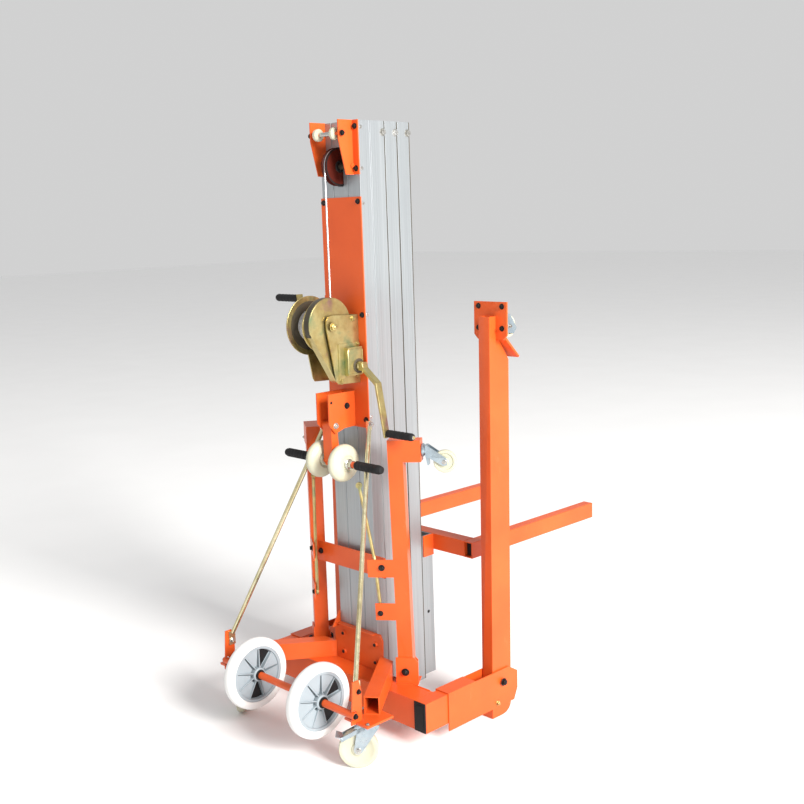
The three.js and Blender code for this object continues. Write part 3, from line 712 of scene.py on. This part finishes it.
# ---- winch
def winch_details():
    _, frame_hi, _ = spot("winch_frame")
    drum, shaft = pivot("drum_spin"), pivot("crank_turn")
    nuts = Piece("winch_nuts", "base", "gold_zinc")
    face = frame_hi.x - 20.8
    nuts.nut((70.2, drum.y, drum.z), X, 12, 7)
    nuts.nut((face, shaft.y - 1, 1379), X, 8, 6)
    nuts.nut((face, shaft.y - 58, 1179), X, 8, 6)
    nuts.nut((face + 3, shaft.y + 13, 1296), X, 6, 5)
    for y, z in ((-20, 1380), (-88, 1184)):
        nuts.nut((-60.2, drum.y + 118 + y, z), -X, 8, 6)
    boss = [(0, 0), (15, 0), (15, 9), (12, 12), (0, 12)]
    nuts.lathe(boss, (WINCH_BOX_FACE, shaft.y, shaft.z), X, 32)
    nuts.done()

    rim = Piece("gear_cover_rim", "base", "gold_zinc", bevel=0.7)
    lo, hi, _ = spot("winch_gear_cover")
    path = []
    big = Vector((0, lo.y + COVER_ARC_R, hi.z - COVER_ARC_R))
    small = big + Vector((0, 31, -174))
    for i in range(25):
        a = -0.3 + (math.pi + 0.58) * i / 24
        path.append(big + (Y * math.cos(a) + Z * math.sin(a)) * COVER_ARC_R)
    for i in range(9):
        a = math.pi + 0.28 + (math.pi - 0.63) * i / 8
        path.append(small + (Y * math.cos(a) + Z * math.sin(a)) * COVER_TIP_R)
    path.append(path[0])
    rim.rod([p + X * (hi.x - 1) for p in path], 2.0, 8)
    rim.done()

    band = Piece("gear_cover_band", "base", "dark_steel")
    arc = [math.pi * (0.36 + 0.78 * i / 20) for i in range(21)]
    far, near = COVER_ARC_R + 0.6, COVER_ARC_R - 0.6
    outside = [(big.y + far * math.cos(a), big.z + far * math.sin(a)) for a in arc]
    inside = [(big.y + near * math.cos(a), big.z + near * math.sin(a)) for a in reversed(arc)]
    band.slab(outside + inside, hi.x - lo.x - 9, (lo.x + 3, 0, 0), Y, Z)
    band.done()

    stamped = Piece("winch_box_rim", "base", "gold_zinc")
    corners = [(-64, 5), (-69, 10), (-69, 82), (-64, 87), (-11, 87), (-6, 82), (-6, 10), (-11, 5), (-64, 5)]
    box_foot = 1196
    stamped.rod([(WINCH_BOX_FACE + 0.2, frame_hi.y + y, box_foot + z) for y, z in corners], 2.2, 8)
    stamped.done()

    # A dark ring on the winch box face round the shaft boss: painted shade standing for the shadow of a recess;
    # the ring itself stands proud.
    recess = Piece("winch_box_recess_shade", "base", "dark_steel", bevel=0.3)
    ring = [(15.4, 0), (24, 0), (24, 1.2), (22, 1.8), (15.4, 1.8)]
    recess.lathe(ring, (WINCH_BOX_FACE, shaft.y, shaft.z), X, 32)
    recess.done()

    # A dark ring on the inner face of the drum's flange: painted shade standing for the shadow on that face.
    shade = Piece("drum_flange_shade", "drum", "dark_steel")
    shade.lathe([(52, 0), (80, 0), (80, 0.6), (52, 0.6)], (drum.x - 46.8, drum.y, drum.z), X, 48)
    shade.done()

    gear = Piece("ratchet_gear", "drum", "dark_steel", bevel=0.3)
    teeth, outline = 40, []
    for i in range(teeth):
        for da, r in ((0.0, 60), (0.25, 66), (0.5, 66), (0.75, 60)):
            a = 2 * math.pi * (i + da) / teeth
            outline.append((r * math.cos(a), r * math.sin(a)))
    gear.slab(outline, 8, (36, drum.y, drum.z), Y, Z)
    gear.done()

    wrap = Piece("rope_winding", "drum", "wire_rope")
    turns, rope_r = 10, 3.0
    inner = 48.9
    profile = [(inner, -46.6)]
    for k in range(turns):
        x = -46.6 + rope_r + k * 2 * rope_r
        for i in range(5):
            a = math.pi - math.pi * i / 4
            profile.append((inner + rope_r * math.sin(a) + 0.2, x + rope_r * math.cos(a)))
    profile.append((inner, profile[-1][1]))
    wrap.lathe(profile, drum, X, 48)
    wrap.done()


def crank_grip(side, sign):
    lo, hi, c = spot(f"crank_grip_{side}")
    r, length = (hi.z - lo.z) / 2, hi.x - lo.x
    grip = Piece(f"grip_{side}", f"crank_grip_{side}", "black_rubber")
    profile = [(5.5, 0), (r - 2.5, 0), (r - 0.6, 2)]
    for k in range(5):
        t = 8 + k * (length - 30) / 5
        profile += [(r - 1.2, t), (r - 0.1, t + 5), (r - 0.1, t + 12), (r - 1.2, t + 16)]
    profile += [(r - 0.4, length - 18), (r, length - 9), (r - 2, length - 2), (r - 6, length), (5.5, length)]
    start = Vector((lo.x if sign > 0 else hi.x, c.y, c.z))
    grip.lathe(profile, start, X * sign, 36)
    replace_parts(grip.done(50), f"crank_grip_{side}")
    cap = Piece(f"grip_pin_{side}", "crank", "bright_zinc")
    end = hi.x if sign > 0 else lo.x
    cap.lathe([(0, 0), (6.5, 0), (6.5, 1.6), (4, 4), (0, 4.6)], (end + sign * 0.4, c.y, c.z), X * sign, 20)
    cap.lathe([(5.4, 0), (9, 0), (9, 7), (5.4, 7)], (start.x - sign * 7.5, c.y, c.z), X * sign, 24)
    cap.done()


# ---- loading wheels
def loading_details(side, sign):
    wheel_lo, wheel_hi, c = spot(f"loading_wheel_{side}")
    r, w = (wheel_hi.z - wheel_lo.z) / 2, (wheel_hi.x - wheel_lo.x) / 2
    body = f"loading_wheel_{side}"
    wheel = Piece(f"loading_roller_{side}", body, "cream_plastic")
    profile = [
        (10.5, -w), (16, -w), (18, 1 - w), (19, 4 - w), (25, 4 - w), (28, 0.6 - w), (r * 0.62, 2.2 - w),
        (r * 0.80, 6 - w), (r * 0.92, 11 - w), (r * 0.985, 17 - w), (r, 0),
    ]
    profile += [(a, -b) for a, b in reversed(profile[:-1])]
    wheel.lathe(profile, c, X, 64)
    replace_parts(wheel.done(50), f"loading_wheel_{side}")
    collar = Piece(f"loading_collar_{side}", "loading_yoke", "bright_zinc")
    out = c.x + sign * (w + 1)
    collar.lathe([(10.2, 0), (17, 0), (17, 5), (14, 7), (10.2, 7)], (out, c.y, c.z), X * sign, 32)
    collar.lathe([(10.2, 0), (13, 0), (13, 16), (10.2, 16)], (out + sign * 7, c.y, c.z), X * sign, 28)
    collar.done()
    lo, hi, g = spot(f"loading_grip_{side}")
    rg, length = (hi.z - lo.z) / 2, hi.x - lo.x
    grip = Piece(f"loading_sleeve_{side}", "loading_yoke", "black_rubber")
    profile = [(10.5, 0), (rg - 2, 0), (rg, 3)]
    for k in range(6):
        t = 10 + k * (length - 26) / 6
        profile += [(rg, t), (rg - 1.2, t + 2), (rg - 1.2, t + 4), (rg, t + 6)]
    profile += [(rg, length - 8), (rg - 2, length - 2), (rg - 5, length), (10.5, length)]
    start = Vector((lo.x if sign > 0 else hi.x, g.y, g.z))
    grip.lathe(profile, start, X * sign, 36)
    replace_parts(grip.done(50), f"loading_grip_{side}")
    end = Piece(f"loading_grip_end_{side}", "loading_yoke", "black_rubber")
    place = (sign * (max(LOADING_AXLE_END, abs(start.x) + length) + 0.2), g.y, g.z)
    end.lathe([(0, 0), (rg - 2.6, 0), (rg - 3.2, 1.4), (rg - 6, 2.6), (0, 3)], place, X * sign, 36)
    end.done(50)


def bracket_details():
    yoke = pivot("loading_yoke_swing")
    lo, hi, _ = spot("loading_bracket")
    nuts = Piece("loading_bracket_nuts", "base", "bright_zinc")
    for sign in (1, -1):
        nuts.nut((sign * (hi.x + 0.2), yoke.y, yoke.z), X * sign, 8, 6)
    nuts.done()
    dark = Piece("loading_bracket_bolts_and_hole_shade", "base", "black_oxide")
    for sign in (1, -1):
        dark.bolt((sign * (hi.x + 0.2), hi.y - 37.4, 1090), X * sign, 8, 6)
        # A black disc on each side plate stands for a hole: painted shade of the hole's inside.
        dark.lathe([(0, -1.5), (5, -1.5), (5, 0.25), (0, 0.25)], (sign * hi.x, lo.y + 12, 1108), X * sign, 16)
    dark.done()


# ---- legs
def leg_details(side, sign):
    body = f"leg_{side}"
    swivel = pivot(f"leg_caster_swivel_{side}")
    front = Vector(joint(f"leg_caster_swivel_{side}")["axis"]).normalized()
    up = X.cross(front)
    lo, _, _ = spot(f"leg_{side}")
    bolts = Piece(f"leg_bolts_{side}", body, "black_oxide")
    for a in (-50, 50):
        for b in (-35, 36):
            place = swivel + X * a + up * b
            bolts.bolt(place - front * 5.2, -front, 7, 6)
            bolts.nut(place + front * 0.1, front, 7, 5)
    bolts.done()
    plate = Piece(f"leg_caster_plate_{side}", body, "blue_zinc", bevel=0.6)
    outline = [(-40, -33), (40, -33), (40, 33), (-40, 33)]
    plate.slab(outline, 2.5, swivel + front * 2.6, X, up)
    plate.done()
    # A black block at the top of the leg tube: painted shade standing for the dark hollow inside the open tube.
    inside = Piece(f"leg_tube_shade_{side}", body, "black_plastic")
    tube = Vector((sign * LEG_MIDDLE_X, lo.y + 37.9, LEG_TUBE_TOP_Z))
    inside.block(tube - Vector((19.8, 11, 1)), tube + Vector((19.8, 11, 1)))
    inside.done()


# ---- stabilizers
def stabilizer_details(side, sign):
    body = f"stabilizer_{side}"
    axis = Vector(joint(f"stabilizer_fold_{side}")["axis"]).normalized()
    rear = axis if axis.y < 0 else -axis
    outward = Vector(joint(f"stabilizer_caster_swivel_{side}")["axis"]).normalized()
    if outward.x * sign < 0:
        outward = -outward
    up = (Z - outward * outward.z).normalized()
    stub = pivot(f"stabilizer_caster_swivel_{side}")

    bolts = Piece(f"stabilizer_bolts_{side}", body, "black_oxide")
    rod_eye = pivot(f"stabilizer_rod_swing_{side}")
    face = rod_eye + rear * 10.7
    bolts.bolt(face, rear, 7, 6)
    bolts.bolt(face + outward * CLIP_OUT + up * CLIP_UP, rear, 8, 7)
    bolts.done()
    nut = Piece(f"stabilizer_nut_{side}", body, "bright_zinc")
    nut.lathe([(0, -2), (14, -2), (14, 3), (0, 3)], stub - outward * 1, outward, 28)
    nut.done()

    tip = Piece(f"rod_tip_{side}", f"stabilizer_rod_{side}", "gold_zinc")
    end = rod_eye - outward * ROD_TIP_IN + up * ROD_TIP_UP
    tip.bolt(end + rear * 4.2, rear, 5, 2)
    tip.bolt(end - rear * 4.2, -rear, 5, 2)
    tip.done()


# ---- carriage
def carriage_details():
    bar_lo, bar_hi, _ = spot("fork_crossbar")
    _, car_hi, _ = spot("carriage_column")
    # Black discs for the lock-pin holes in the carriage column: painted shade standing for the dark inside of each
    # hole.
    hole = Piece("carriage_lock_hole_shade", "carriage", "black_plastic")
    for sign in (1, -1):
        place = (sign * car_hi.x, car_hi.y - 28, 306)
        hole.lathe([(0, -1), (6, -1), (6, 0.2), (0, 0.2)], place, X * sign, 20)
    hole.done()
    weld = Piece("fork_welds", "carriage", "orange_paint")
    for sign in (1, -1):
        for z in (bar_lo.z + 22, bar_hi.z - 1):
            weld.rod([(sign * 239.5, bar_lo.y + 52, z), (sign * 239.5, bar_hi.y - 2, z)], 2.2, 8)
    weld.done()
    # Black blocks set inside each fork tube's open end: painted shade standing for the dark hollow of the tube.
    for side, _ in SIDES:
        lo, hi, _ = spot(f"fork_{side}")
        cap = Piece(f"fork_end_shade_{side}", "carriage", "black_plastic", bevel=0.8)
        cap.block((lo.x + 4.5, lo.y + 14, lo.z + 4.5), (hi.x - 4.5, lo.y + 18, hi.z - 4.5))
        cap.done()


for side, sign in SIDES:
    transport_wheel(side)
    base_details(side, sign)
    crank_grip(side, sign)
    loading_details(side, sign)
    leg_details(side, sign)
    stabilizer_details(side, sign)
    for kind, wheel, width, radius, plate, brake in CASTERS:
        swivel, spin = f"{kind}_swivel_{side}", f"{wheel}_spin_{side}"
        tread = f"{kind}_tread_{side}"
        caster_wheel(f"{kind}_wheel_{side}", f"{wheel}_{side}", spin, width, radius, tread)
        name = f"{kind}_{side}"
        caster_hardware(name, name, swivel, spin, width, radius, plate, brake)
centre_details()
winch_details()
bracket_details()
carriage_details()


# ---- rope pulley: a dark rim and hub ring on each face, and a sleeve on its pin
def pulley_details():
    c = pivot("pulley_spin")
    lo, hi, _ = spot("rope_pulley")
    r = (hi.z - lo.z) / 2
    rim = Piece("pulley_rim", "pulley", "black_oxide")
    for face in (1, -1):
        rim.lathe([(r - 5, 10.9), (r - 0.2, 10.9), (r - 0.2, 11.4), (r - 5, 11.6)], c, X * face, 56)
        rim.lathe([(9, 10.9), (20, 10.9), (18, 14), (9, 14)], c, X * face, 32)
    rim.done()
    sleeve = Piece("pulley_pin_sleeve", "base", "dark_steel")
    for face in (1, -1):
        sleeve.lathe([(8.2, 14.6), (10, 14.6), (10, 65.4), (8.2, 65.4)], c, X * face, 28)
    sleeve.done()


pulley_details()

# ---- stage, lights and camera
FLOOR_REACH = 40
FLOOR_DROP = 0.0006
floor_mesh = bpy.data.meshes.new("floor")
corners = [(x * FLOOR_REACH, y * FLOOR_REACH, 0) for x, y in ((-1, -1), (1, -1), (1, 1), (-1, 1))]
floor_mesh.from_pydata(corners, [], [(0, 1, 2, 3)])
floor = bpy.data.objects.new("floor", floor_mesh)
bpy.context.scene.collection.objects.link(floor)
floor_look = Look("pale_floor", (0.95, 0.95, 0.95), 0.9)
floor_look.paint(floor_look.ramp(floor_look.noise(2), [(0.3, (0.94, 0.94, 0.94)), (0.7, (0.96, 0.96, 0.96))]))
floor_mesh.materials.append(floor_look.mat)
floor.location.z = -FLOOR_DROP

world = bpy.context.scene.world or bpy.data.worlds.new("world")
bpy.context.scene.world = world
world.use_nodes = True
background = world.node_tree.nodes["Background"]
background.inputs["Color"].default_value = (1.0, 1.0, 1.0, 1)
background.inputs["Strength"].default_value = 0.64


def area_light(name, place, target, size, power, tint=(1, 1, 1)):
    data = bpy.data.lights.new(name, "AREA")
    data.size = size
    data.energy = power
    data.color = tint
    light = bpy.data.objects.new(name, data)
    light.location = place
    light.rotation_euler = (Vector(target) - Vector(place)).to_track_quat("-Z", "Y").to_euler()
    bpy.context.scene.collection.objects.link(light)


area_light("key", (10.8, -1.2, 5.9), (0, 0, 0.9), 4.4, 2800, (1.0, 0.98, 0.95))
area_light("fill", (-3.0, -4.5, 2.6), (0, 0, 1.0), 3.0, 8)

# the camera stands where the photo's camera stood
AZIMUTH, PITCH, ROLL = math.radians(45.8), math.radians(9.3), math.radians(-1.9)
LENS, CAMERA_PLACE = 49.55, (2.756, -2.699, 1.689)
toward = Vector((
    math.sin(AZIMUTH) * math.cos(PITCH), -math.cos(AZIMUTH) * math.cos(PITCH), math.sin(PITCH)
))
flat = Vector((math.cos(AZIMUTH), math.sin(AZIMUTH), 0))
up = toward.cross(flat)
cam_x = flat * math.cos(ROLL) + up * math.sin(ROLL)
cam_y = up * math.cos(ROLL) - flat * math.sin(ROLL)
camera_data = bpy.data.cameras.new("camera")
camera_data.sensor_width = 36
camera_data.lens = LENS
camera = bpy.data.objects.new("camera", camera_data)
rotation = Matrix((cam_x, cam_y, toward)).transposed().to_4x4()
camera.matrix_world = Matrix.Translation(CAMERA_PLACE) @ rotation
bpy.context.scene.collection.objects.link(camera)
bpy.context.scene.camera = camera
bpy.context.scene.view_settings.view_transform = "Standard"
